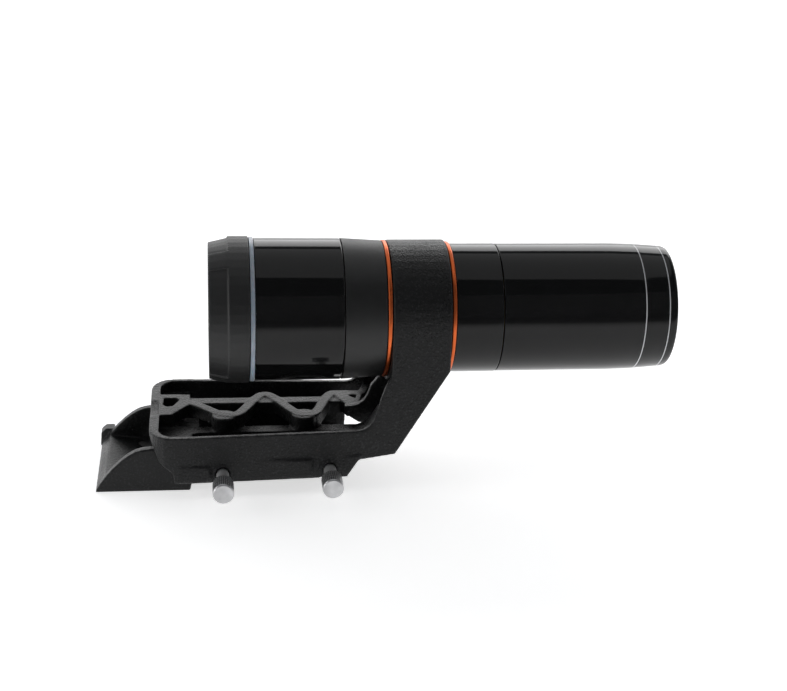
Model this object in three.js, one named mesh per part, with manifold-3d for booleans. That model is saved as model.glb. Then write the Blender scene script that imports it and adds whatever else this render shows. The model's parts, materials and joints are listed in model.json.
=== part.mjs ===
// Guide scope with a built-in camera, held in a cast ring bracket that clamps on a dovetail shoe.
// Millimetres. +X runs towards the objective, +Z is up, Z = 0 is the plane the shoe rests on.
import * as THREE from 'three';
import { mergeVertices } from 'three/addons/utils/BufferGeometryUtils.js';
import Module from 'manifold-3d';

const wasm = await Module();
wasm.setup();

// ---- driving dimensions -------------------------------------------------------------------
const AXIS = 78.5;            // height of the tube axis
const GAP = 0.3;              // clearance kept between touching pieces
const ROUND = 48;             // facets round the tube

const CAP_R = 33.6;           // rear cap
const CAP_X = 18.1;
const LIGHT_R = 33.1;         // pale light ring
const LIGHT_X0 = 18.4;
const LIGHT_X1 = 20.3;
const BODY_R = 32.9;          // gloss camera housing
const BODY_X1 = 60.0;
const CONE_X1 = 79.2;         // matte adaptor cone
const CONE_R0 = 32.6;
const CONE_R1 = 31.4;
const RING_X0 = 81.6;         // cast ring of the bracket
const RING_X1 = 108.3;
const RING_R = 31.8;
const BORE_R = 29.6;
const BARREL_X1 = 132.0;      // front barrel
const BARREL_R = 29.95;
const HOOD_X0 = 132.4;        // lens hood
const HOOD_X1 = 213.2;
const HOOD_R = 29.8;
const TUBE_R = 29.2;          // inner tube that carries everything
const TUBE_RI = 27.2;
const SLEEVE_R = 26.4;        // threaded sleeve the hood turns on
const CELL_R = 24.0;          // sliding lens cell

const FRAME_X0 = -27.3;       // open frame below the tube
const FRAME_X1 = 66.0;
const FRAME_TOP = 30.1;
const SKIRT_Z = 7.7;
const WALL = 2.8;
const END_WALL = 4.3;
const HALF_REAR = 36.1;       // half width of the frame, rear and front
const HALF_FRONT = 31.9;
const FAR_RAIL_TOP = 29.3;
const NEAR_RAIL_TOP = 23.1;
const RAIL_IN = 6.3;
const RAIL_OUT = 13.5;
const BLOCK_X0 = -5;          // clamp block with the dovetail groove
const BLOCK_X1 = 64.4;
const BLOCK_TOP = 20.5;
const POCKET_FLOOR = 21.6;    // floor of the rear pockets
const RIB_T = 4.8;            // wavy rib
const RIB_DEPTH = 6.2;
const BOSS_X = [6.8, 43.9];   // round bosses below the rib
const BOSS_Y = -8.6;
const BOSS_R = 5.8;

const DOVE_TOP = 15.9;        // male dovetail of the shoe
const DOVE_WIDE = 17.0;
const DOVE_NECK = 12.9;
const DOVE_NECK_Z = 7.5;
const SHOE_X0 = -52.1;
const SHOE_X1 = -8.2;
const SHOE_HALF = 26.5;
const PLATE_T = 4.2;
const RAIL_X1 = 61;

const SCREW_Z = 11.4;         // clamp screws
const SCREW_X = [5.6, 54.4];
const KNOB_R = 4.4;
const NECK_R = 2.8;
const SCREW_R = 2.5;          // threaded part of a clamp screw
const BUSH_R = 4.4;           // bore for its bush, put in from inside
const MOUTH_R = 3.2;          // hole in the wall

const SHOE_SCREW_X = [-14.0, 40.0];
const SHOE_SEAT = 9.0;        // height of the seat under each fixing screw's head

const SCALLOPS = [1.5, 121.5, 241.5];
const SCALLOP_HALF = 51;      // half its angle
const SCALLOP_X1 = 8.8;
const SCALLOP_DEPTH = 0.8;
const PLATE_R = 28.6;         // connector plate in the rear cap
const CAP_SCREW_R = 24.6;     // pitch radius of its four screws
const CAP_SCREWS = [45, 135, 225, 315].map((a) => a * Math.PI / 180);
const PORTS = [
  { name: 'guide_port', y: -13.0, z: 6.0, w: 13.4, h: 11.6, d: 9 },
  { name: 'hand_control_port', y: 13.0, z: 6.0, w: 13.4, h: 11.6, d: 9 },
  { name: 'usb_port', y: 0, z: -15.0, w: 9.4, h: 3.8, d: 7 },
];

// ---- materials ----------------------------------------------------------------------------
const material = (color, roughness, metalness) =>
  new THREE.MeshStandardMaterial({ color, roughness, metalness });
const CAST = material(0x1c1c1e, 0.75, 0.1);
const GLOSS = material(0x060607, 0.12, 0.0);
const MATTE = material(0x161718, 0.7, 0.1);
const ORANGE = material(0xd8501c, 0.3, 0.9);
const PALE = material(0xa9b4c4, 0.35, 0.0);
const STEEL = material(0xb4b6ba, 0.3, 1.0);
const BRASS = material(0xb08d45, 0.35, 1.0);
const GLASS = material(0x9fb4c8, 0.05, 0.0);
const BOARD = material(0x14402a, 0.6, 0.0);
const CHIP = material(0x202226, 0.4, 0.0);
const RUBBER = material(0x101010, 0.9, 0.0);
const NYLON = material(0xe6e2d6, 0.6, 0.0);

const group = new THREE.Group();

// ---- solid helpers ------------------------------------------------------------------------
const signedVolume = (g) => {
  const p = g.attributes.position;
  const i = g.index.array;
  const a = new THREE.Vector3();
  const b = new THREE.Vector3();
  const c = new THREE.Vector3();
  let v = 0;
  for (let k = 0; k < i.length; k += 3) {
    a.fromBufferAttribute(p, i[k]);
    b.fromBufferAttribute(p, i[k + 1]);
    c.fromBufferAttribute(p, i[k + 2]);
    v += a.dot(b.cross(c));
  }
  return v;
};

const welded = (geometry) => {
  const g = geometry.index ? geometry.toNonIndexed() : geometry.clone();
  g.deleteAttribute('normal');
  g.deleteAttribute('uv');
  const m = mergeVertices(g, 1e-4);
  const src = m.index.array;
  const keep = [];
  for (let k = 0; k < src.length; k += 3) {
    const [a, b, c] = [src[k], src[k + 1], src[k + 2]];
    if (a !== b && b !== c && a !== c) keep.push(a, b, c);
  }
  m.setIndex(keep);
  if (signedVolume(m) < 0) {
    for (let k = 0; k < keep.length; k += 3) [keep[k], keep[k + 1]] = [keep[k + 1], keep[k]];
    m.setIndex(keep);
  }
  return m;
};

const solid = (geometry) => {
  const m = welded(geometry);
  return new wasm.Manifold(new wasm.Mesh({
    numProp: 3,
    vertProperties: new Float32Array(m.attributes.position.array),
    triVerts: new Uint32Array(m.index.array),
  }));
};

const toGeometry = (manifold) => {
  const mesh = manifold.getMesh();
  const g = new THREE.BufferGeometry();
  g.setAttribute('position', new THREE.BufferAttribute(new Float32Array(mesh.vertProperties), 3));
  g.setIndex(new THREE.BufferAttribute(new Uint32Array(mesh.triVerts), 1));
  return g;
};

const add = (name, shape, mat) => {
  const g = shape.isBufferGeometry ? welded(shape) : toGeometry(shape);
  g.computeVertexNormals();
  const mesh = new THREE.Mesh(g, mat);
  mesh.name = name;
  group.add(mesh);
};

const union = (...parts) => parts.reduce((a, b) => a.add(b));
const minus = (base, ...tools) => tools.reduce((a, b) => a.subtract(b), base);

// closed profile of [x, r] pairs turned about the tube axis
const turned = (pairs, segments = ROUND) => {
  const loop = [...pairs, pairs[0]].map(([x, r]) => new THREE.Vector2(Math.max(r, 0), x));
  const g = new THREE.LatheGeometry(loop, segments);
  g.rotateZ(-Math.PI / 2);
  g.translate(0, 0, AXIS);
  return g;
};

const disc = (x0, x1, r) => turned([[x0, 0], [x0, r], [x1, r], [x1, 0]]);
const sleeve = (x0, x1, ro, ri) => turned([[x0, ri], [x0, ro], [x1, ro], [x1, ri]]);

// polygon given in XZ, extruded along Y
const slabXZ = (points, y0, y1) => {
  const s = new THREE.Shape(points.map(([x, z]) => new THREE.Vector2(x, z)));
  const g = new THREE.ExtrudeGeometry(s, { depth: y1 - y0, bevelEnabled: false });
  g.rotateX(Math.PI / 2);
  g.translate(0, y1, 0);
  return solid(g);
};

// polygon given in XY, extruded along Z
const slabXY = (points, z0, z1) => {
  const s = new THREE.Shape(points.map(([x, y]) => new THREE.Vector2(x, y)));
  const g = new THREE.ExtrudeGeometry(s, { depth: z1 - z0, bevelEnabled: false });
  g.translate(0, 0, z0);
  return solid(g);
};

// polygon given in YZ, extruded along X
const slabYZ = (points, x0, x1) => {
  const s = new THREE.Shape(points.map(([y, z]) => new THREE.Vector2(y, z)));
  const g = new THREE.ExtrudeGeometry(s, { depth: x1 - x0, bevelEnabled: false });
  g.rotateX(Math.PI / 2);
  g.rotateZ(Math.PI / 2);
  g.translate(x0, 0, 0);
  return solid(g);
};

const box = (x0, x1, y0, y1, z0, z1) => {
  const g = new THREE.BoxGeometry(x1 - x0, y1 - y0, z1 - z0);
  g.translate((x0 + x1) / 2, (y0 + y1) / 2, (z0 + z1) / 2);
  return g;
};
const block = (...sizes) => solid(box(...sizes));

// upright round bar
const post = (x, y, r, z0, z1, segments = 20) => {
  const g = new THREE.CylinderGeometry(r, r, z1 - z0, segments);
  g.rotateX(Math.PI / 2);
  g.translate(x, y, (z0 + z1) / 2);
  return g;
};

// open line in XY widened to a strip of constant thickness
const strip = (line, t, z0, z1) => {
  const pieces = [];
  for (let k = 0; k + 1 < line.length; k += 1) {
    const [x0, y0] = line[k];
    const [x1, y1] = line[k + 1];
    const d = Math.hypot(x1 - x0, y1 - y0);
    const nx = -(y1 - y0) / d * t / 2;
    const ny = (x1 - x0) / d * t / 2;
    const corners = [[x0 - nx, y0 - ny], [x1 - nx, y1 - ny], [x1 + nx, y1 + ny], [x0 + nx, y0 + ny]];
    pieces.push(slabXY(corners, z0, z1));
    if (k > 0) pieces.push(solid(post(x0, y0, t / 2, z0, z1, 10)));
  }
  return union(...pieces);
};

const mirrored = (half) => [...half, ...half.map(([x, y]) => [x, -y]).reverse()];

// ---- cast bracket -------------------------------------------------------------------------
const side = [
  [FRAME_X0, FRAME_TOP], [-27.4, 28.3], [-22.8, 17.7], [-17.1, 13.1], [-16.6, 12.4], [-16.0, SKIRT_Z],
  [62.4, SKIRT_Z], [64.1, 10.7], [66.2, 15.7], [84.3, 18.5], [108.1, 58.4], [RING_X1, 59.2],
  [RING_X1, AXIS + 40], [RING_X0, AXIS + 40], [RING_X0, 56.4], [79.1, 51.6], [77.0, 45.2],
  [75.3, 38.4], [74.2, 35.4], [72.4, 32.6], [69.3, 30.6], [66.5, FRAME_TOP],
];
const plan = mirrored([
  [-27.3, 23.5], [-26.9, 27.0], [-25.6, 30.4], [-23.4, 33.4], [-20.6, 35.4], [-17.0, HALF_REAR],
  [-9.0, HALF_REAR], [FRAME_X1, HALF_FRONT], [RING_X0, RING_R], [RING_X1 + 1, RING_R],
]);
const bodyFront = union(
  solid(disc(-40, 120, RING_R)),
  block(-40, 120, -45, 45, -5, AXIS),
);
const outer = slabXZ(side, -40, 40).intersect(slabXY(plan, -5, 130)).intersect(bodyFront);

const innerHalf = (x) => HALF_REAR - WALL + (x + 9) * (HALF_FRONT - HALF_REAR) / (FRAME_X1 + 9);
const voidPlan = mirrored([
  [FRAME_X0 + END_WALL, 26.5], [-21.4, 30.4], [-18.0, innerHalf(-9)], [-9.0, innerHalf(-9)],
  [FRAME_X1, innerHalf(FRAME_X1)], [RING_X0, RING_R - WALL], [105.0, RING_R - WALL],
]);
const voidSide = [
  [-40, 70], [-40, -5], [79.6, -5], [79.6, 17.5], [81.5, 20.1], [104.9, 59.4], [104.9, 70],
];
const hollow = slabXY(voidPlan, -5, 72).intersect(slabXZ(voidSide, -40, 40))
  .subtract(solid(disc(RING_X0, 112, RING_R + 1.9)));

const wave = new THREE.SplineCurve([
  [-12.0, 6.5], [-9.0, 6.6], [-3.6, 2.2], [4.0, -6.4], [9.2, -8.8], [14.2, -6.2], [22.0, 11.0],
  [26.6, 16.0], [31.2, 11.0], [40.0, -6.8], [45.0, -9.2], [49.8, -6.6], [56.0, 11.6],
  [60.4, 16.6], [63.4, 10.6], [67.2, 1.0],
].map(([x, y]) => new THREE.Vector2(x, y))).getPoints(42).map((p) => [p.x, p.y]);
const dovetail = (g) => [
  [-DOVE_NECK - g, -6], [DOVE_NECK + g, -6], [DOVE_NECK + g, DOVE_NECK_Z + 0.2],
  [DOVE_WIDE + g, DOVE_TOP + g], [-DOVE_WIDE - g, DOVE_TOP + g], [-DOVE_NECK - g, DOVE_NECK_Z + 0.2],
];
const halfAt = (x) => innerHalf(x) + 0.6;
const clampBlock = slabXY(mirrored([[BLOCK_X0, halfAt(BLOCK_X0)], [BLOCK_X1, halfAt(BLOCK_X1)]]),
  SKIRT_Z, BLOCK_TOP);
const tubeSpace = union(
  solid(disc(60, RING_X0, RING_R + 1.4)),
  solid(disc(RING_X0 - 1, 120, RING_R - 0.5)),
);
const insides = union(
  clampBlock,
  block(BLOCK_X0, 64.5, RAIL_IN, RAIL_OUT, BLOCK_TOP - 1, FAR_RAIL_TOP),
  block(BLOCK_X0, 72, -RAIL_OUT, -RAIL_IN, BLOCK_TOP - 1, NEAR_RAIL_TOP),
  block(-24, BLOCK_X0 + 1, RAIL_IN, RAIL_OUT, POCKET_FLOOR, FAR_RAIL_TOP),
  slabXY([[-24, -4.0], [-4, -RAIL_IN], [-4, -RAIL_OUT], [-8, -15], [-8, -halfAt(-8)], [-18, -halfAt(-9)],
    [-21.0, -31], [-24, -26.8]], POCKET_FLOOR, NEAR_RAIL_TOP),
  slabXY([[63, -RAIL_IN], [72, -RAIL_IN], [76, -30], [63, -halfAt(61)]], 19.4, NEAR_RAIL_TOP),
  slabXZ([[69.0, 21.0], [69.0, NEAR_RAIL_TOP], [72.4, 24.6], [76.0, 28.4], [78.6, 33.0], [82, 33], [82, 21]],
    -29.6, -RAIL_IN),
  slabXY([[-24, -8.2], [-17.6, -8.0], [-12.9, -1.1], [-9.0, 4.2], [-9, 16.4], [-24, 16.8]],
    FRAME_TOP - RIB_DEPTH, FRAME_TOP),
  slabXY([[-24, 16.4], [-9.0, 16.2], [-9.0, halfAt(-9)], [-18.5, halfAt(-9)], [-24, 27]],
    POCKET_FLOOR, 24.0),
  strip(wave, RIB_T, FRAME_TOP - RIB_DEPTH, FRAME_TOP),
  strip([[60.4, 16.6], [73.5, 16.2], [78, 29.5]], 4.2, FRAME_TOP - RIB_DEPTH, FRAME_TOP),
  slabXY([[62.4, 15], [74.0, 15.6], [71.8, 6.0], [69.2, -1.0], [66, -0.6]], FRAME_TOP - 3.6, FRAME_TOP),
  ...BOSS_X.map((x) => solid(post(x, BOSS_Y, BOSS_R, BLOCK_TOP, FRAME_TOP - 0.3, 24))),
  slabXZ([[63.6, FRAME_TOP], [67.2, FRAME_TOP], [70.2, 33.2], [78.6, 43.8], [82.2, 48], [98, 48],
    [84, 20.5], [70.6, 21.6], [63.6, 26.2]], -1.6, 1.6).subtract(tubeSpace),
  slabXZ([[78.5, 18.1], [84.3, 18.5], [108.1, 58.4], [103.6, 58.4], [81.6, 21.5], [78.5, 21.2]],
    -29.6, 29.6).subtract(tubeSpace),
);
const bracketTools = [
  solid(disc(60, 130, BORE_R)),
  slabYZ(dovetail(GAP), -40, 70),
  block(-40, BLOCK_X0, -30.6, 30.6, -5, POCKET_FLOOR),
  block(-8, 64.5, -RAIL_IN, RAIL_IN, 10, 24.0),
  slabXY([[-21.2, 12.1], [-15.0, 11.8], [-14.0, 9.6], [-17.0, 2.6], [-19.6, 1.8], [-21.6, 4.4]], 18, 40),
  slabXY([[66.2, 12.6], [70.6, 12.8], [69.6, 8.6]], 18, 40),
  slabYZ([[-10, FRAME_TOP + 3], [10, FRAME_TOP + 3], [10, FRAME_TOP], [6, FRAME_TOP - 1.0],
    [0, FRAME_TOP - 1.5], [-6, FRAME_TOP - 1.0], [-10, FRAME_TOP]], -40, FRAME_X0 + END_WALL - 0.5),
];

// clamp screws, square to the dovetail
const aimed = (geometry, x) => {
  geometry.translate(x, -innerHalf(x) - WALL, SCREW_Z);
  return geometry;
};
const bar = (pairs, segments) => {
  const loop = [...pairs, pairs[0]].map(([y, r]) => new THREE.Vector2(Math.max(r, 0), y));
  return new THREE.LatheGeometry(loop, segments);
};
const borePairs = [[-4, 0], [-4, MOUTH_R], [2.0, MOUTH_R], [2.0, BUSH_R], [22, BUSH_R], [22, 0]];
const screwBores = SCREW_X.map((x) => solid(aimed(bar(borePairs, 28), x)));
const bracket = minus(outer.subtract(hollow).add(insides.intersect(outer)), ...bracketTools, ...screwBores);
add('bracket_casting', bracket, CAST);

// ---- dovetail shoe ------------------------------------------------------------------------
const plateSide = [
  [SHOE_X0, 0], [-50.2, 3.4], [-47.4, 7.4], [-44.2, 11.2], [-40.5, 14.8], [-37.0, 17.6], [-33.6, 19.6],
  [-30.2, 20.6], [-26.9, 20.9], [-20.0, 20.9], [-14.0, 16.5], [-8.2, 5.0], [SHOE_X1 - 1.2, 0],
];
const railShape = [
  [-15, 0], [15, 0], [15, 4], [DOVE_NECK, DOVE_NECK_Z], [DOVE_WIDE, DOVE_TOP], [-DOVE_WIDE, DOVE_TOP],
  [-DOVE_NECK, DOVE_NECK_Z], [-15, 4],
];
const floorSide = [
  [SHOE_X0, 0], [-50.6, 3.0], [-47.4, 7.0], [-34.0, 5.2], [-27.0, 4.0], [SHOE_X1, 4.0], [SHOE_X1 - 0.8, 0],
];
const shoeBody = union(
  slabXZ(plateSide, -SHOE_HALF, -SHOE_HALF + PLATE_T),
  slabXZ(plateSide, SHOE_HALF - PLATE_T, SHOE_HALF),
  slabXZ(floorSide, -SHOE_HALF + 1, SHOE_HALF - 1),
  slabYZ(railShape, -26, RAIL_X1),
  slabXZ([[-52.4, 0], [-52.0, 6.6], [-49.6, 8.8], [-45.6, 8.8], [-45.0, 0]], SHOE_HALF - 1, SHOE_HALF + 5.6),
);
const slotTool = (x0, x1, y, w) => union(
  block(x0 + w / 2, x1 - w / 2, y - w / 2, y + w / 2, -3, 30),
  solid(post(x0 + w / 2, y, w / 2, -3, 30)),
  solid(post(x1 - w / 2, y, w / 2, -3, 30)),
);
const seats = SHOE_SCREW_X.map((x) => solid(post(x, 0, 5.1, SHOE_SEAT, 30, 28)));
const holes = SHOE_SCREW_X.map((x) => solid(post(x, 0, 2.8, -3, 30, 20)));
const shoe = minus(shoeBody, slotTool(-34, -21, 17, 7), slotTool(-34, -21, -17, 7), ...seats, ...holes);
add('mounting_shoe', shoe, CAST);

const capScrew = (x) => {
  const head = solid(post(x, 0, 4.4, SHOE_SEAT + 0.4, SHOE_SEAT + 4.8, 24));
  const shank = solid(post(x, 0, 2.4, 0.6, SHOE_SEAT + 1, 20));
  const socket = solid(post(x, 0, 2.2, SHOE_SEAT + 2.2, SHOE_SEAT + 6, 6));
  return minus(union(head, shank), socket);
};
add('shoe_screw_rear', capScrew(SHOE_SCREW_X[0]), STEEL);
add('shoe_screw_front', capScrew(SHOE_SCREW_X[1]), STEEL);

// ---- clamp screws -------------------------------------------------------------------------
SCREW_X.forEach((x, k) => {
  const n = ['rear', 'front'][k];
  const reach = innerHalf(x) + WALL - DOVE_WIDE - GAP;
  const bush = [[2.3, 2.9], [2.3, BUSH_R - GAP], [reach - 4, BUSH_R - GAP], [reach - 4, 2.9]];
  add(`thread_bush_${n}`, aimed(bar(bush, 28), x), BRASS);
  const knob = [
    [-19.7, 0], [-19.7, KNOB_R - 0.7], [-19.0, KNOB_R], [-9.2, KNOB_R], [-8.6, KNOB_R - 0.5],
    [-8.6, NECK_R], [0.4, NECK_R], [0.9, SCREW_R], [reach - 1.7, SCREW_R], [reach - 1.7, 0],
  ];
  add(`thumbscrew_${n}`, aimed(bar(knob, 32), x), STEEL);
  const pad = [[reach - 1.4, 0], [reach - 1.4, SCREW_R], [reach, 2.3], [reach, 0]];
  add(`screw_pad_${n}`, aimed(bar(pad, 24), x), NYLON);
});

// ---- tube, rear to front ------------------------------------------------------------------
// wide shallow scallop in the cap's rear edge, about the given direction from -Y
const scallop = (degrees) => {
  const skin = solid(turned([
    [-1, 30.6], [-1, 40], [SCALLOP_X1, 40], [SCALLOP_X1, CAP_R - SCALLOP_DEPTH],
  ]));
  const corners = [-SCALLOP_HALF, -SCALLOP_HALF / 2, 0, SCALLOP_HALF / 2, SCALLOP_HALF].map((a) => {
    const t = (a + degrees) * Math.PI / 180;
    return [-60 * Math.cos(t), AXIS + 60 * Math.sin(t)];
  });
  return skin.intersect(slabYZ([[0, AXIS], ...corners], -2, SCALLOP_X1 + 1));
};
const portHoles = PORTS.map(({ y, z, w, h }) =>
  block(-2, 5, y - w / 2 - GAP, y + w / 2 + GAP, AXIS + z - h / 2 - GAP, AXIS + z + h / 2 + GAP));
const capSeats = CAP_SCREWS.map((a) => {
  const g = new THREE.CylinderGeometry(2.7, 2.7, 3.2, 16);
  g.rotateZ(Math.PI / 2);
  g.translate(0.4, CAP_SCREW_R * Math.cos(a), AXIS + CAP_SCREW_R * Math.sin(a));
  return solid(g);
});
const capShell = solid(turned([
  [0, PLATE_R + GAP], [0, 31.6], [2.2, 32.3], [8.0, CAP_R], [CAP_X, CAP_R], [CAP_X, 30.2], [3.2, 30.2],
  [3.2, PLATE_R + GAP],
]));
add('rear_cap', minus(capShell, ...SCALLOPS.map(scallop)), MATTE);
add('connector_plate', minus(solid(disc(0.2, 3.2, PLATE_R)), ...portHoles, ...capSeats), MATTE);

CAP_SCREWS.forEach((a, k) => {
  const g = new THREE.CylinderGeometry(2.3, 2.3, 1.4, 16);
  g.rotateZ(Math.PI / 2);
  g.translate(1.0, 0, 0);
  const head = solid(g).subtract(block(-1, 0.9, -1.8, 1.8, -0.35, 0.35));
  const at = [0, CAP_SCREW_R * Math.cos(a), AXIS + CAP_SCREW_R * Math.sin(a)];
  add(`cap_screw_${k + 1}`, head.translate(at), STEEL);
});

PORTS.forEach(({ name, y, z, w, h, d }) => {
  const y0 = y - w / 2;
  const z0 = AXIS + z - h / 2;
  const shell = block(0.2, d, y0, y0 + w, z0, z0 + h);
  const t = h > 6 ? 1.4 : 0.7;
  const mouth = block(-1, d - 1.6, y0 + t, y0 + w - t, z0 + t, z0 + h - t);
  const tongue = h > 6
    ? block(2.4, d - 1, y0 + 2.6, y0 + w - 2.6, z0 + h - t - 2.2, z0 + h - t + 0.2)
    : block(1.6, d - 1, y0 + 2.2, y0 + w - 2.2, z0 + h / 2 - 0.35, z0 + h / 2 + 0.35);
  add(name, union(minus(shell, mouth), tongue), h > 6 ? CHIP : STEEL);
});

add('light_ring', sleeve(LIGHT_X0, LIGHT_X1, LIGHT_R, 28.4), PALE);
add('camera_housing', turned([
  [20.6, 28.4], [20.6, BODY_R - 0.1], [21.2, BODY_R], [59.4, BODY_R - 0.3], [BODY_X1, BODY_R - 0.6],
  [BODY_X1, 29.6], [23.0, 29.6], [23.0, 28.4],
]), GLOSS);
add('adaptor_cone', turned([
  [60.4, 29.6], [60.4, CONE_R0 - 0.4], [60.9, CONE_R0], [CONE_X1, CONE_R1], [CONE_X1, 29.6],
]), MATTE);
add('accent_ring_rear', sleeve(79.5, 81.3, 31.7, 29.6), ORANGE);
add('accent_ring_front', sleeve(108.6, 110.4, 30.9, 29.6), ORANGE);
add('front_barrel', turned([
  [110.7, 29.5], [110.7, BARREL_R - 0.2], [111.1, BARREL_R], [131.6, BARREL_R], [BARREL_X1, BARREL_R - 0.3],
  [BARREL_X1, 27.5], [130.0, 27.5], [130.0, 29.5],
]), GLOSS);
add('main_tube', sleeve(23.4, 129.6, TUBE_R, TUBE_RI), MATTE);
add('lens_hood', turned([
  [HOOD_X0, SLEEVE_R + 0.4], [HOOD_X0, HOOD_R - 0.3], [HOOD_X0 + 0.4, HOOD_R], [186, HOOD_R],
  [197.9, 29.45], [209.1, 28.65], [211.8, 28.45], [212.6, 28.1], [HOOD_X1, 27.3], [HOOD_X1, 26.6],
  [189.5, 26.2], [189.5, CELL_R + 0.4], [147.0, CELL_R + 0.4], [147.0, SLEEVE_R + 0.4],
]), GLOSS);
add('focus_sleeve', sleeve(111.0, 146.4, SLEEVE_R, SLEEVE_R - 2.0), BRASS);

// ---- optics -------------------------------------------------------------------------------
const cap = (x, r, sag, n) => {
  const out = [];
  for (let k = 0; k <= n; k += 1) out.push([x + sag * (1 - (1 - k / n) ** 2), r * (1 - k / n)]);
  return out;
};
add('lens_cell', turned([
  [150.0, 19.0], [150.0, CELL_R], [186.0, CELL_R], [186.0, 21.2], [171.5, 21.2], [171.5, 19.0],
]), MATTE);
add('rear_lens', turned([[172.0, 0], [172.0, 20.8], [175.0, 20.8], ...cap(175.0, 19.6, -1.8, 4)], 36), GLASS);
add('front_lens', turned([
  ...cap(175.6, 19.6, -1.8, 4).reverse(), [175.6, 20.8], [179.6, 20.8], ...cap(179.6, 20.0, 2.6, 4),
], 36), GLASS);
add('lens_retainer', sleeve(180.2, 184.5, 20.9, 18.6), MATTE);
add('sleeve_baffle', turned([
  [139.0, 18.0], [139.0, 24.1], [142.0, 24.1], [142.0, 19.4], [140.0, 18.0],
]), MATTE);
add('tube_baffle', turned([
  [96.0, 14.0], [96.0, 26.9], [99.0, 26.9], [99.0, 15.6], [97.4, 14.0],
]), MATTE);

// ---- camera electronics -------------------------------------------------------------------
add('sensor_board', box(50.0, 51.6, -17, 17, AXIS - 15, AXIS + 15), BOARD);
add('image_sensor', box(51.9, 54.0, -6.5, 6.5, AXIS - 5.2, AXIS + 5.2), CHIP);
add('sensor_window', box(54.3, 55.4, -6.0, 6.0, AXIS - 4.7, AXIS + 4.7), GLASS);
add('processor_board', box(30.0, 31.6, -18, 18, AXIS - 17, AXIS + 17), BOARD);
add('processor_chip', box(31.9, 34.0, -7, 7, AXIS - 7, AXIS + 7), CHIP);
add('heat_spreader', box(34.3, 38.0, -9, 9, AXIS - 9, AXIS + 9), STEEL);
[[-14, -12], [14, -12], [-14, 12], [14, 12]].forEach(([y, z], k) => {
  const g = new THREE.CylinderGeometry(2.0, 2.0, 17.8, 6);
  g.rotateZ(Math.PI / 2);
  g.translate(40.8, y, AXIS + z);
  add(`board_standoff_${k + 1}`, g, BRASS);
});
add('ribbon_cable', slabXZ([
  [31.9, AXIS + 15.2], [33.4, AXIS + 15.2], [33.4, AXIS + 15.6], [40.4, AXIS + 16.3],
  [48.4, AXIS + 13.6], [49.7, AXIS + 13.6], [49.7, AXIS + 14.2], [48.4, AXIS + 14.2],
  [40.4, AXIS + 16.9], [33.2, AXIS + 16.2], [31.9, AXIS + 16.2],
], -6, 6), NYLON);
add('cap_gasket', sleeve(CAP_X - 0.9, CAP_X + 0.1, 29.9, 28.6), RUBBER);

export default group;
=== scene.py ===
"""Looks of the guide scope: tube shells, cast bracket, shoe, screws, materials, floor, light and camera.

Metres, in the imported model's own frame: +X along the tube to the objective, +Z up, Z = 0 the floor.
"""

import json
import math

import bmesh
import bpy
from mathutils import Matrix, Vector


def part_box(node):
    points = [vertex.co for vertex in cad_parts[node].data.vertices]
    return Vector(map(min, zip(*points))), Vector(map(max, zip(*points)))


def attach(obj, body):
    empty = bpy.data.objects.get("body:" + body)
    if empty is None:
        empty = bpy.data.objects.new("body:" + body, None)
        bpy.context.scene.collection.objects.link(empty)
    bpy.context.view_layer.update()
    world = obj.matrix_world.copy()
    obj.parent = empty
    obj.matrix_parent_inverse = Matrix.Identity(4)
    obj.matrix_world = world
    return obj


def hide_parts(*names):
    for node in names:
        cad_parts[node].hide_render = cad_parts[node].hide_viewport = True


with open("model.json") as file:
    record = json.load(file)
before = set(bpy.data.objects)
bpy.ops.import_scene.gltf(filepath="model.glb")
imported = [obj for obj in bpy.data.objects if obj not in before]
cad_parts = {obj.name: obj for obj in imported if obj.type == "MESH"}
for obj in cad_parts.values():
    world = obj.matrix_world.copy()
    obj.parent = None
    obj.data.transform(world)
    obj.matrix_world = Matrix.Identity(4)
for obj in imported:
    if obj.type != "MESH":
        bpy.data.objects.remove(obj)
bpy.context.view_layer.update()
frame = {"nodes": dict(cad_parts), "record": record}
MM = 0.001
TUBE_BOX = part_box("main_tube")
AXIS = (TUBE_BOX[0].z + TUBE_BOX[1].z) / 2          # height of the tube axis
ROUND = 144                                         # facets round the tube


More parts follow.
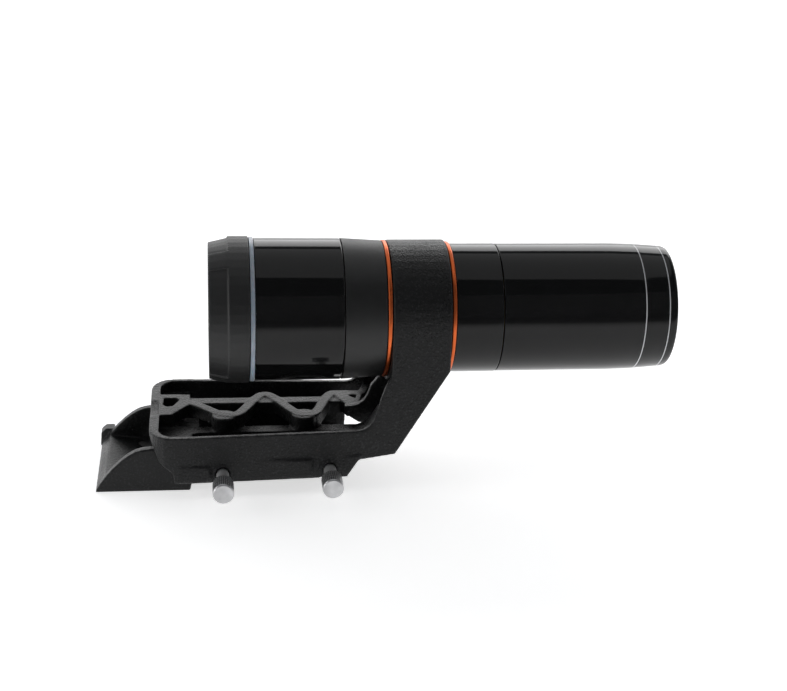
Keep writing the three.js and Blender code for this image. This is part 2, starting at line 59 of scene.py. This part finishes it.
# ---- materials ----------------------------------------------------------------------------------
class Nodes:
    """A short way to write a node material."""

    def __init__(self, name):
        self.material = bpy.data.materials.new(name)
        self.material.use_nodes = True
        self.tree = self.material.node_tree
        self.shader = self.tree.nodes["Principled BSDF"]
        self.place = self.tree.nodes.new("ShaderNodeTexCoord").outputs["Object"]

    def set(self, **values):
        for key, value in values.items():
            self.shader.inputs[key.replace("_", " ")].default_value = value
        return self

    def node(self, kind, inputs=None, **settings):
        made = self.tree.nodes.new(kind)
        for key, value in settings.items():
            setattr(made, key, value)
        for key, value in (inputs or {}).items():
            if isinstance(value, bpy.types.NodeSocket):
                self.tree.links.new(value, made.inputs[key])
            else:
                made.inputs[key].default_value = value
        return made

    def to(self, socket, target):
        self.tree.links.new(socket, self.shader.inputs[target])

    def noise(self, scale, detail=3.0, stretch=(1, 1, 1), roughness=0.55):
        mapping = self.node("ShaderNodeMapping", {"Vector": self.place, "Scale": stretch})
        made = self.node("ShaderNodeTexNoise", {
            "Vector": mapping.outputs["Vector"], "Scale": scale, "Detail": detail, "Roughness": roughness})
        return made.outputs["Fac"]

    def spread(self, value, low, high, start=0.3, end=0.7):
        made = self.node("ShaderNodeMapRange", {
            "Value": value, "From Min": start, "From Max": end, "To Min": low, "To Max": high})
        return made.outputs["Result"]

    def mix(self, fac, a, b):
        made = self.node("ShaderNodeMix", {0: fac, 6: a, 7: b}, data_type="RGBA")
        return made.outputs[2]

    def edge_highlight_and_wear_mask(self, start, end):
        """1 on outward edges, 0 elsewhere: the mask for edges painted lighter, partly as painted highlight
        and partly as rubbed wear.
        """
        edge = self.node("ShaderNodeNewGeometry").outputs["Pointiness"]
        return self.spread(edge, 0.0, 1.0, start, end)

    def bump(self, height, strength, distance, normal=None):
        inputs = {"Height": height, "Strength": strength, "Distance": distance}
        if normal is not None:
            inputs["Normal"] = normal
        return self.node("ShaderNodeBump", inputs).outputs["Normal"]

    def math(self, operation, a, b=0.0):
        return self.node("ShaderNodeMath", {0: a, 1: b}, operation=operation).outputs[0]

    def along(self, axis):
        return self.node("ShaderNodeSeparateXYZ", {0: self.place}).outputs[axis]


def grey(value, tint=0.0):
    return (value * (1 - tint), value, value * (1 + tint), 1)


def cast_coat(name, base, rough, grain, edge_light_and_wear):
    """Black powder coat on a casting: pebbled grain with lighter specks, partly grain and partly painted
    glints, patchy roughness, and outward edges painted lighter, partly as painted highlight on rounded
    corners and partly as rubbed wear.
    """
    n = Nodes(name).set(Metallic=0.0, Specular_IOR_Level=0.26)
    pebble = n.noise(1050, 4.0)
    patches = n.noise(60, 3.0)
    tone = n.mix(n.spread(patches, 0, 1), grey(base * 0.8, 0.03), grey(base * 1.25, 0.04))
    # Lighter specks where the grain noise is high: partly grain, partly painted glints.
    tone_with_glint_specks = n.mix(n.spread(pebble, 0, 0.7, 0.54, 0.72), tone, grey(base * 4.5, 0.04))
    # Outward edges are painted lighter (grey 0.16): partly painted highlight on the rounded corners, partly
    # rubbed wear.
    n.to(n.mix(n.math("MULTIPLY", n.edge_highlight_and_wear_mask(0.52, 0.62), edge_light_and_wear), tone_with_glint_specks, grey(0.16, 0.03)), "Base Color")
    shine = n.math("ADD", n.spread(pebble, rough - 0.07, rough + 0.07), n.spread(patches, -0.05, 0.05))
    n.to(shine, "Roughness")
    fine = n.bump(pebble, grain, 0.0005)
    n.to(n.bump(n.noise(240, 2.0), 0.25, 0.0004, fine), "Normal")
    return n.material


def gloss_coat(name, base, lines=()):
    """Gloss black lacquer with a faint orange peel, and silver lines on its outside at the X places given."""
    n = Nodes(name).set(Metallic=0.0, Specular_IOR_Level=0.3)
    film = n.noise(90, 3.0)
    colour = n.mix(n.spread(film, 0, 1), grey(base, 0.04), grey(base * 1.5, 0.05))
    across, up = n.along("Y"), n.math("SUBTRACT", n.along("Z"), AXIS)
    square = n.math("ADD", n.math("MULTIPLY", across, across), n.math("MULTIPLY", up, up))
    outside = n.math("GREATER_THAN", square, LINE_INNER ** 2)
    for x in lines:
        off = n.math("ABSOLUTE", n.math("SUBTRACT", n.along("X"), x))
        mask = n.math("MULTIPLY", n.math("LESS_THAN", off, LINE_WIDTH / 2), outside)
        colour = n.mix(mask, colour, (0.62, 0.63, 0.65, 1))
    n.to(colour, "Base Color")
    n.to(n.spread(n.noise(260, 4.0), 0.05, 0.09), "Roughness")
    n.to(n.bump(n.noise(420, 2.0), 0.035, 0.0002), "Normal")
    return n.material


def moulded(name, base, rough, grain, scale=1800):
    """Fine-textured matt black, with lighter specks that are partly grain and partly painted glints."""
    n = Nodes(name).set(Metallic=0.0, Specular_IOR_Level=0.5)
    grain_and_glint = n.noise(scale, 4.0)
    cloud = n.noise(45, 3.0)
    tone = n.mix(n.spread(cloud, 0, 1), grey(base * 0.8, 0.03), grey(base * 1.3, 0.03))
    # Lighter specks where the grain noise is high: partly grain, partly painted glints.
    n.to(n.mix(n.spread(grain_and_glint, 0, 0.4, 0.5, 0.8), tone, grey(base * 2.0, 0.03)), "Base Color")
    n.to(n.spread(grain_and_glint, rough - 0.08, rough + 0.08), "Roughness")
    n.to(n.bump(grain_and_glint, grain, 0.00014), "Normal")
    return n.material


def turned_metal(name, colour, rough, axis, metallic=1.0):
    """Metal with fine turning lines across the given axis and a little tarnish."""
    n = Nodes(name).set(Metallic=metallic, Specular_IOR_Level=0.5)
    stretch = {"X": (1, 0.02, 0.02), "Y": (0.02, 1, 0.02), "Z": (0.02, 0.02, 1)}[axis]
    ring = n.noise(3200, 3.0, stretch)
    tarnish = n.noise(170, 3.0)
    dark = tuple(c * 0.72 for c in colour) + (1,)
    n.to(n.mix(n.spread(tarnish, 0, 1, 0.35, 0.75), colour + (1,), dark), "Base Color")
    shine = n.math("ADD", n.spread(ring, rough - 0.06, rough + 0.08), n.spread(tarnish, -0.03, 0.05))
    n.to(shine, "Roughness")
    n.to(n.bump(ring, 0.22, 0.00005), "Normal")
    return n.material


def pale_plastic(name):
    """Milky blue-grey light ring."""
    n = Nodes(name).set(Roughness=0.3, Subsurface_Weight=0.25, Subsurface_Scale=0.002)
    cloud = n.noise(300, 3.0)
    n.to(n.mix(n.spread(cloud, 0, 1), (0.30, 0.36, 0.43, 1), (0.40, 0.46, 0.53, 1)), "Base Color")
    n.to(n.bump(n.noise(2000, 2.0), 0.1, 0.00005), "Normal")
    return n.material


def lens_glass(name):
    """Coated glass, with a faint coating tone that drifts over it."""
    n = Nodes(name).set(Transmission_Weight=1.0, Roughness=0.01, IOR=1.52)
    n.to(n.mix(n.spread(n.noise(35, 2.0), 0, 1), (0.80, 0.93, 0.86, 1), (0.86, 0.84, 0.95, 1)), "Base Color")
    n.to(n.bump(n.noise(60, 1.0), 0.02, 0.0001), "Normal")
    return n.material


def circuit_board(name):
    """Green solder mask over copper tracks."""
    n = Nodes(name).set(Metallic=0.0, Coat_Weight=0.4, Coat_Roughness=0.15)
    cells = n.node("ShaderNodeTexVoronoi", {"Vector": n.place, "Scale": 420.0},
                   feature="DISTANCE_TO_EDGE", distance="MANHATTAN").outputs["Distance"]
    track = n.spread(cells, 1, 0, 0.03, 0.07)
    n.to(n.mix(track, (0.012, 0.085, 0.04, 1), (0.03, 0.17, 0.07, 1)), "Base Color")
    n.to(n.spread(n.noise(900, 2.0), 0.35, 0.5), "Roughness")
    n.to(n.bump(track, 0.4, 0.00004), "Normal")
    return n.material


def ribbed_nylon(name):
    """Natural nylon with a soft grain."""
    n = Nodes(name).set(Metallic=0.0, Subsurface_Weight=0.15, Subsurface_Scale=0.001)
    n.to(n.mix(n.spread(n.noise(200, 3.0), 0, 1), (0.70, 0.67, 0.58, 1), (0.82, 0.80, 0.72, 1)), "Base Color")
    n.to(n.spread(n.noise(900, 3.0), 0.45, 0.6), "Roughness")
    n.to(n.bump(n.noise(1600, 2.0), 0.15, 0.0001), "Normal")
    return n.material


LINE_WIDTH = 0.5 * MM
LINE_INNER = 27.6 * MM     # the lines are printed on the outside only, beyond this radius
LINE_X = [0.1979, 0.2091]
CAST = cast_coat("cast_coat", 0.008, 0.34, 1.0, 0.16)
SHOE_COAT = cast_coat("shoe_coat", 0.007, 0.36, 0.6, 0.18)
GLOSS = gloss_coat("gloss_coat", 0.0035)
HOOD_COAT = gloss_coat("hood_coat", 0.0035, LINE_X)
SATIN = moulded("satin_coat", 0.008, 0.46, 0.25)
CAP_COAT = moulded("cap_coat", 0.010, 0.5, 0.45, 1500)
ORANGE = turned_metal("orange_anodised", (0.80, 0.16, 0.045), 0.3, "X", 0.9)
PALE = pale_plastic("pale_ring")
STEEL = turned_metal("bright_steel", (0.60, 0.60, 0.61), 0.3, "Y")
KNURL = turned_metal("knurled_steel", (0.62, 0.62, 0.63), 0.3, "Y", 0.7)
# Dark steel for the knurl's groove floors and flanks: painted shade.
KNURL_GROOVE_SHADE = turned_metal("knurl_groove_painted_shade", (0.07, 0.07, 0.075), 0.4, "Y", 0.7)
# A lighter copy of the steel for the neck, which lies in the bracket's shade: painted light.
NECK_PAINTED_LIGHT = turned_metal("neck_painted_light", (0.80, 0.80, 0.80), 0.35, "Y", 0.55)
CAP_STEEL = turned_metal("screw_steel", (0.5, 0.5, 0.51), 0.3, "X")
BRASS = turned_metal("brass", (0.72, 0.5, 0.2), 0.3, "X")
ALUMINIUM = turned_metal("bare_aluminium", (0.6, 0.61, 0.62), 0.4, "Z")
GLASS = lens_glass("coated_glass")
BOARD = circuit_board("circuit_board")
CHIP = moulded("moulded_black", 0.02, 0.42, 0.2, 2400)
NYLON = ribbed_nylon("nylon")
RUBBER = moulded("rubber", 0.012, 0.75, 0.4, 900)

BY_SLOT = {
    "cast_black": CAST, "gloss_black": GLOSS, "satin_black": SATIN, "matte_black": CAP_COAT,
    "orange_anodised": ORANGE, "pale_ring": PALE, "steel": STEEL, "brass": BRASS, "coated_glass": GLASS,
    "board_green": BOARD, "chip_black": CHIP, "bare_aluminium": ALUMINIUM, "nylon": NYLON, "rubber": RUBBER,
}
ENDS = ("rear", "front")
# nodes that look different from the rest of their slot
BY_NAME = {f"cap_screw_{k}": CAP_STEEL for k in range(1, 5)}
BY_NAME["usb_port"] = CAP_STEEL
BY_NAME.update({f"thread_bush_{end}": CAP_COAT for end in ENDS})


# ---- mesh helpers -------------------------------------------------------------------------------
def link(name, mesh):
    made = bpy.data.objects.new(name, mesh)
    bpy.context.scene.collection.objects.link(made)
    return made


def smooth(mesh, degrees=32):
    mesh.shade_smooth()
    mesh.set_sharp_from_angle(angle=math.radians(degrees))


def place(obj, body, slot, material, *nodes):
    """Gives a piece its material and its body, and hides the CAD nodes it stands for; the slot is not used.
    """
    if not obj.data.materials:
        obj.data.materials.append(material)
    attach(obj, body)
    if nodes:
        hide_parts(*nodes)
    return obj


def softened(points, steps=5):
    """Closed outline with each corner (x, r, fillet) rounded by a curve."""
    out = []
    count = len(points)
    for k, (x, r, fillet) in enumerate(points):
        here = Vector((x, r))
        before = Vector(points[k - 1][:2])
        after = Vector(points[(k + 1) % count][:2])
        if fillet <= 0:
            out.append(here)
            continue
        a = here + (before - here).normalized() * min(fillet, (before - here).length * 0.45)
        b = here + (after - here).normalized() * min(fillet, (after - here).length * 0.45)
        for s in range(steps + 1):
            t = s / steps
            out.append(a * (1 - t) ** 2 + here * 2 * t * (1 - t) + b * t * t)
    return out


def spin(name, points, segments=ROUND, steps=5, wobble=None):
    """Closed profile of (x, r, fillet) in mm turned about the X axis."""
    bm = bmesh.new()
    rings = []
    for p in softened(points, steps):
        if p.y < 1e-6:
            rings.append([bm.verts.new((p.x * MM, 0, 0))])
            continue
        ring = []
        for s in range(segments):
            a = 2 * math.pi * s / segments
            r = p.y * MM if wobble is None else wobble(p.x, p.y, s) * MM
            ring.append(bm.verts.new((p.x * MM, r * math.cos(a), r * math.sin(a))))
        rings.append(ring)
    for k, ring in enumerate(rings):
        following = rings[(k + 1) % len(rings)]
        if len(ring) == 1 and len(following) == 1:
            continue
        for s in range(segments):
            t = (s + 1) % segments
            corners = [ring[s % len(ring)], ring[t % len(ring)], following[t % len(following)],
                       following[s % len(following)]]
            corners = [v for i, v in enumerate(corners) if v not in corners[:i]]
            if len(corners) > 2:
                bm.faces.new(corners)
    bmesh.ops.recalc_face_normals(bm, faces=bm.faces)
    mesh = bpy.data.meshes.new(name)
    bm.to_mesh(mesh)
    bm.free()
    return mesh


def tube_piece(name, points, body, slot, material, *nodes):
    """A turned piece on the tube's axis."""
    mesh = spin(name, points)
    mesh.transform(Matrix.Translation((0, 0, AXIS)))
    smooth(mesh)
    return place(link(name, mesh), body, slot, material, *nodes)


def evaluated(obj):
    """The object's mesh with its modifiers applied, and the object itself removed."""
    graph = bpy.context.evaluated_depsgraph_get()
    mesh = bpy.data.meshes.new_from_object(obj.evaluated_get(graph))
    bpy.data.objects.remove(obj)
    return mesh


def prism(corners, y0, y1, chamfer):
    """Solid mesh of an XZ outline in mm from y0 to y1, its y0 side drawn in by the chamfer."""
    bm = bmesh.new()
    centre = sum((Vector(c) for c in corners), Vector((0, 0))) / len(corners)
    rows = []
    for y, inset in ((y0, chamfer), (y1, 0.0)):
        row = []
        for x, z in corners:
            towards = (centre - Vector((x, z))).normalized() * inset
            row.append(bm.verts.new(((x + towards.x) * MM, y * MM, (z + towards.y) * MM)))
        rows.append(row)
    bm.faces.new(rows[0])
    bm.faces.new(rows[1][::-1])
    for k in range(len(corners)):
        j = (k + 1) % len(corners)
        bm.faces.new([rows[0][j], rows[0][k], rows[1][k], rows[1][j]])
    bmesh.ops.recalc_face_normals(bm, faces=bm.faces)
    mesh = bpy.data.meshes.new("prism")
    bm.to_mesh(mesh)
    bm.free()
    return mesh


def joined(meshes):
    """Several meshes as one."""
    bm = bmesh.new()
    for m in meshes:
        bm.from_mesh(m)
    mesh = bpy.data.meshes.new("joined")
    bm.to_mesh(mesh)
    bm.free()
    return mesh


def cast_piece(name, node, voxel, passes, extras=(), cuts=()):
    """The CAD node's own solid, less the cuts and with the extras, its edges softened as cast ones are."""
    base = link("base", frame["nodes"][node].data.copy())
    cutters = [link("cutter", m) for m in cuts]
    for c in cutters:
        cut = base.modifiers.new("cut", "BOOLEAN")
        cut.operation = "DIFFERENCE"
        cut.solver = "EXACT"
        cut.object = c
    work = link("work", joined([evaluated(base), *extras]))
    skin = work.modifiers.new("skin", "REMESH")
    skin.mode = "VOXEL"
    skin.voxel_size = voxel * MM
    soft = work.modifiers.new("soft", "SMOOTH")
    soft.factor = 0.5
    soft.iterations = passes
    mesh = evaluated(work)
    for c in cutters:
        bpy.data.objects.remove(c)
    mesh.materials.clear()
    mesh.shade_smooth()
    return link(name, mesh)


# ---- tube ---------------------------------------------------------------------------------------
def tube_shells():
    tube_piece("housing_shell", [
        (20.6, 28.4, 0), (20.6, 32.8, 0.25), (59.6, 32.6, 0.3), (60.0, 32.3, 0.1), (60.0, 29.6, 0),
        (23.0, 29.6, 0), (23.0, 28.4, 0)], "bracket", "gloss_black", GLOSS, "camera_housing")
    tube_piece("cone_shell", [
        (60.4, 29.6, 0), (60.4, 32.55, 0.35), (79.2, 31.4, 0.3), (79.2, 29.6, 0)],
        "bracket", "satin_black", SATIN, "adaptor_cone")
    tube_piece("light_ring_shell", [
        (18.4, 28.4, 0), (18.4, 33.1, 0.2), (20.3, 33.1, 0.2), (20.3, 28.4, 0)],
        "bracket", "pale_ring", PALE, "light_ring")
    tube_piece("accent_band_rear", [
        (79.5, 29.6, 0), (79.5, 31.7, 0.7), (81.3, 31.7, 0.7), (81.3, 29.6, 0)],
        "bracket", "orange_anodised", ORANGE, "accent_ring_rear")
    tube_piece("accent_band_front", [
        (108.6, 29.6, 0), (108.6, 30.9, 0.7), (110.4, 30.9, 0.7), (110.4, 29.6, 0)],
        "bracket", "orange_anodised", ORANGE, "accent_ring_front")
    tube_piece("barrel_shell", [
        (110.7, 29.5, 0), (110.7, 29.95, 0.3), (131.8, 29.95, 0.35), (132.0, 29.6, 0.1), (132.0, 27.5, 0),
        (130.0, 27.5, 0), (130.0, 29.5, 0)], "bracket", "gloss_black", GLOSS, "front_barrel")
    tube_piece("hood_shell", [
        (132.4, 26.8, 0), (132.4, 29.8, 0.45), (186.0, 29.8, 4), (197.9, 29.45, 2), (209.1, 28.65, 1),
        (211.8, 28.45, 0.8), (213.2, 27.9, 0.7), (213.2, 26.8, 0.4), (212.0, 26.5, 0.3), (189.5, 26.2, 0.3),
        (189.5, 24.4, 0.2), (147.0, 24.4, 0), (147.0, 26.8, 0)],
        "hood", "gloss_black", HOOD_COAT, "lens_hood")


def optics():
    """Two elements, their threaded retainer and the ribbed cell."""
    def dome(x, r, sag, count):
        return [(x + sag * (1 - (k / count) ** 2), r * k / count, 0) for k in range(count + 1)]
    tube_piece("front_element", [
        *dome(175.6, 19.6, -1.8, 10), (175.6, 20.8, 0.1), (179.6, 20.8, 0.2),
        *dome(179.6, 20.0, 2.6, 10)[::-1]],
        "objective", "coated_glass", GLASS, "front_lens")
    tube_piece("rear_element", [
        (172.0, 0, 0), (172.0, 20.8, 0.2), (175.0, 20.8, 0.1), *dome(175.0, 19.6, -1.8, 10)[::-1]],
        "objective", "coated_glass", GLASS, "rear_lens")
    threads = []
    for k in range(9):
        x = 180.4 + k * 0.45
        threads += [(x, 18.75, 0), (x + 0.22, 18.5, 0)]
    tube_piece("retainer_ring", [
        (180.2, 20.9, 0.2), (184.5, 20.9, 0.2), (184.5, 18.75, 0.1), *threads[::-1], (180.2, 18.75, 0)],
        "objective", "satin_black", SATIN, "lens_retainer")
    ribs = []
    for k in range(6):
        x = 152.0 + k * 3.0
        ribs += [(x, 19.0, 0), (x + 0.6, 20.2, 0), (x + 1.8, 20.2, 0), (x + 2.4, 19.0, 0)]
    tube_piece("cell_body", [
        (150.0, 24.0, 0.4), (186.0, 24.0, 0.4), (186.0, 21.2, 0.3), (171.5, 21.2, 0), (171.5, 19.0, 0),
        *ribs[::-1], (150.0, 19.0, 0)], "objective", "satin_black", SATIN, "lens_cell")


def rear_end():
    """Cap with three wide scallops in its rear edge."""
    obj = cast_piece("cap_shell", "rear_cap", 0.42, 4)
    place(obj, "bracket", "matte_black", CAP_COAT, "rear_cap")


# ---- bracket and shoe ---------------------------------------------------------------------------
TAPER_X = (-9, 66)        # the frame narrows between these places, in mm
HALF_WIDTH = (36.1, 31.9)  # its half width at them
HEAD_OUT = 19.7           # from the outer face of a clamp screw's head to the wall, in mm
PAD_STEP = 0.5            # how far the raised pads of the near wall stand out
PAD_ROOT = 1.2            # and how deep they are sunk in it
PAD_CHAMFER = 1.4


def wall_y(x):
    """Outer face of the tapered near wall at x, in mm."""
    share = (max(x, TAPER_X[0]) - TAPER_X[0]) / (TAPER_X[1] - TAPER_X[0])
    return -(HALF_WIDTH[0] + share * (HALF_WIDTH[1] - HALF_WIDTH[0]))


def aimed(mesh, end):
    """Lays a mesh that was turned about the X axis along a clamp screw, with X = 0 at the wall."""
    low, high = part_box(f"thumbscrew_{end}")
    at = Vector(((low.x + high.x) / 2, low.y + HEAD_OUT * MM, (low.z + high.z) / 2))
    mesh.transform(Matrix.Translation(at) @ Matrix.Rotation(math.radians(-90), 4, "Z"))
    return mesh


def bracket():
    """The casting with three raised pads on its near wall and a recess round each clamp screw."""
    pads = []
    for corners in (
            [(-16.2, 8.2), (1.0, 8.2), (0.6, 16.4), (-14.6, 16.6)],
            [(11.2, 8.2), (47.2, 8.2), (46.8, 17.8), (13.2, 18.6)],
            [(59.6, 8.2), (63.0, 8.2), (70.0, 19.4), (60.2, 19.0)]):
        xs = [c[0] for c in corners]
        mid = (min(xs) + max(xs)) / 2
        y = wall_y(mid)
        pads.append(prism(corners, y - PAD_STEP, y + PAD_ROOT, PAD_CHAMFER))
    cuts = []
    for end in ENDS:
        recess = spin("recess", [(-0.5, 0, 0), (-0.5, 5.6, 0.3), (4.0, 6.6, 0), (4.0, 0, 0)], 48)
        cuts.append(aimed(recess, end))
    obj = cast_piece("bracket_body", "bracket_casting", 0.5, 4, pads, cuts)
    place(obj, "bracket", "cast_black", CAST, "bracket_casting")


def shoe():
    obj = cast_piece("shoe_body", "mounting_shoe", 0.45, 3)
    place(obj, "shoe", "cast_black", SHOE_COAT, "mounting_shoe")


# ---- screws -------------------------------------------------------------------------------------
TEETH = 32
TOOTH = 0.5
KNURL_X = (9.1, 18.7)     # the toothed length, measured out from the wall
TOOTH_R = 4.5             # profile points further out than this are cut into teeth
ROOT_R = 4.6              # what lies nearer the axis than this is the floor or flank of a groove, painted dark as shade
GROOVE_Y = (1.0, 10.2)    # the grooved length, measured from the head's outer face, where the groove floors and flanks get painted shade
FACE_Y = 0.85             # where the plain face ends
NECK_Y = 11.0             # where the neck starts; the neck is painted lighter than the head, as painted light


def thumbscrews():
    """Knurled heads: real straight teeth between two chamfered plain ends, with the groove floors painted
    dark as shade and the neck painted lighter as light.
    """
    profile = [
        (-19.7, 0, 0), (-19.7, 4.2, 0.12), (-19.1, 4.75, 0.2), (-18.7, 4.75, 0), (-9.6, 4.75, 0),
        (-9.2, 4.55, 0), (-8.6, 4.0, 0.2), (-8.6, 3.2, 0.2), (-8.1, 2.9, 0.2), (0.4, 2.9, 0.1), (0.9, 2.5, 0),
        (13.0, 2.5, 0),
        (13.0, 0, 0)]

    def tooth(x, r, s):
        if KNURL_X[0] <= x <= KNURL_X[1] and r > TOOTH_R:
            return r - TOOTH * (s % 4 in (0, 3))
        return r
    for end in ENDS:
        mesh = spin("head", [(-a, r, f) for a, r, f in profile], TEETH * 4, 3, tooth)
        aimed(mesh, end)
        for material in (STEEL, KNURL, NECK_PAINTED_LIGHT, KNURL_GROOVE_SHADE):
            mesh.materials.append(material)
        low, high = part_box(f"thumbscrew_{end}")
        middle = (low + high) / 2
        for f in mesh.polygons:
            along = f.center.y - low.y
            radius = math.hypot(f.center.x - middle.x, f.center.z - middle.z)
            # The neck gets the lighter steel: painted light.
            if along >= NECK_Y * MM:
                f.material_index = 2
            # Groove floors and flanks get the dark steel: painted shade.
            elif GROOVE_Y[0] * MM < along < GROOVE_Y[1] * MM and radius < ROOT_R * MM:
                f.material_index = 3
            elif along > FACE_Y * MM:
                f.material_index = 1
        smooth(mesh, 40)
        obj = link(f"thumbscrew_head_{end}", mesh)
        place(obj, f"knob_{end}", "steel", STEEL, f"thumbscrew_{end}")


# ---- what stays from the CAD --------------------------------------------------------------------
def dress_nodes():
    """Every CAD node still showing gets its slot's material and a fine bevel."""
    slots = {s["node"]: s["material_slot"] for s in frame["record"]["subparts"]}
    for name, obj in frame["nodes"].items():
        if obj.hide_render:
            continue
        obj.data.materials.clear()
        material = BY_NAME.get(name) or BY_SLOT[slots[name]]
        obj.data.materials.append(material)
        edge = obj.modifiers.new("edge", "BEVEL")
        edge.width = 0.12 * MM
        edge.segments = 2
        edge.limit_method = "ANGLE"
        edge.angle_limit = math.radians(40)


# ---- stage --------------------------------------------------------------------------------------
FLOOR_R = 1.8             # flat part of the floor
FLOOR_BEND = 0.8          # radius of the sweep into the wall
FLOOR_TOP = 2.2
FLOOR_SIDES = 72
DARK_Y = (-0.52, -0.25)   # the floor fades from dark to pale between these
SIDE_X = (1.3, 2.2)       # and its glow weakens towards the sides between these


def stage():
    """Pale round floor that sweeps up into a wall. It is dark in front, where the gloss would mirror it."""
    arc = [k * math.pi / 16 for k in range(9)]
    profile = [(FLOOR_R / 2, 0.0)]
    profile += [(FLOOR_R + FLOOR_BEND * math.sin(a), FLOOR_BEND * (1 - math.cos(a))) for a in arc]
    profile.append((FLOOR_R + FLOOR_BEND, FLOOR_TOP))
    count = FLOOR_SIDES
    turns = [2 * math.pi * k / count for k in range(count)]
    bm = bmesh.new()
    rows = [[bm.verts.new((r * math.cos(t), r * math.sin(t), z)) for t in turns] for r, z in profile]
    bm.faces.new(rows[0])
    for inner, outer in zip(rows, rows[1:]):
        for k in range(count):
            j = (k + 1) % count
            bm.faces.new([inner[k], outer[k], outer[j], inner[j]])
    mesh = bpy.data.meshes.new("floor")
    bm.to_mesh(mesh)
    bm.free()
    mesh.shade_smooth()
    n = Nodes("floor_paper").set(Roughness=0.9, Specular_IOR_Level=0.1, Emission_Color=(1, 1, 1, 1))
    near = n.spread(n.along("Y"), 1, 0, *DARK_Y)
    beside = n.spread(n.math("ABSOLUTE", n.along("X")), 1.0, 0.45, *SIDE_X)
    paper = n.mix(n.spread(n.noise(3, 2.0), 0, 1), (0.90, 0.90, 0.905, 1), (0.92, 0.92, 0.92, 1))
    n.to(n.mix(near, paper, (0.30, 0.30, 0.31, 1)), "Base Color")
    n.to(n.math("MULTIPLY", n.spread(near, 0.64, 0.04, 0, 1), beside), "Emission Strength")
    mesh.materials.append(n.material)
    link("floor", mesh)


def lamp(name, at, look, size, size_y, power):
    """Soft box at one place, facing another."""
    data = bpy.data.lights.new(name, "AREA")
    data.shape = "RECTANGLE"
    data.size = size
    data.size_y = size_y
    data.energy = power
    made = bpy.data.objects.new(name, data)
    made.location = at
    made.rotation_euler = (Vector(look) - Vector(at)).to_track_quat("-Z", "Y").to_euler()
    made.visible_camera = False
    bpy.context.scene.collection.objects.link(made)


def lights():
    target = (0.08, 0.0, 0.06)
    corner = (-0.02, 0.0, 0.03)
    lamp("overhead", (0.1, 0.25, 1.5), target, 1.7, 1.7, 4.6)
    lamp("back_box", (0.1, 1.5, 0.85), target, 2.6, 0.9, 10)
    lamp("left_fill", (-1.4, -0.3, 0.9), target, 0.8, 0.8, 2.0)
    lamp("left_low", (-1.1, -0.25, 0.12), corner, 0.35, 0.25, 1.3)
    world = bpy.data.worlds.new("studio")
    world.use_nodes = True
    world.node_tree.nodes["Background"].inputs["Color"].default_value = (0.9, 0.95, 1.0, 1)
    world.node_tree.nodes["Background"].inputs["Strength"].default_value = 0.10
    bpy.context.scene.world = world
    bpy.context.scene.view_settings.view_transform = "Standard"


CAMERA_AT = (-0.003045, -0.670390, 0.312713)
CAMERA_TURN = (7.568, 20.5, 1.991)     # yaw, pitch down and roll in degrees


def camera():
    """Long lens from in front and above, a little to the left, turned slightly."""
    yaw, pitch, roll = (math.radians(a) for a in CAMERA_TURN)
    ahead = Vector((math.sin(yaw) * math.cos(pitch), math.cos(yaw) * math.cos(pitch), -math.sin(pitch)))
    level = Vector((math.cos(yaw), -math.sin(yaw), 0))
    upright = level.cross(ahead)
    right = level * math.cos(roll) + upright * math.sin(roll)
    up = upright * math.cos(roll) - level * math.sin(roll)
    data = bpy.data.cameras.new("camera")
    data.sensor_width = 36
    data.lens = 70.47
    made = bpy.data.objects.new("camera", data)
    rows = [(right[k], up[k], -ahead[k], CAMERA_AT[k]) for k in range(3)]
    made.matrix_world = Matrix((*rows, (0, 0, 0, 1)))
    bpy.context.scene.collection.objects.link(made)
    bpy.context.scene.camera = made


camera()
tube_shells()
optics()
rear_end()
bracket()
shoe()
thumbscrews()
dress_nodes()
stage()
lights()
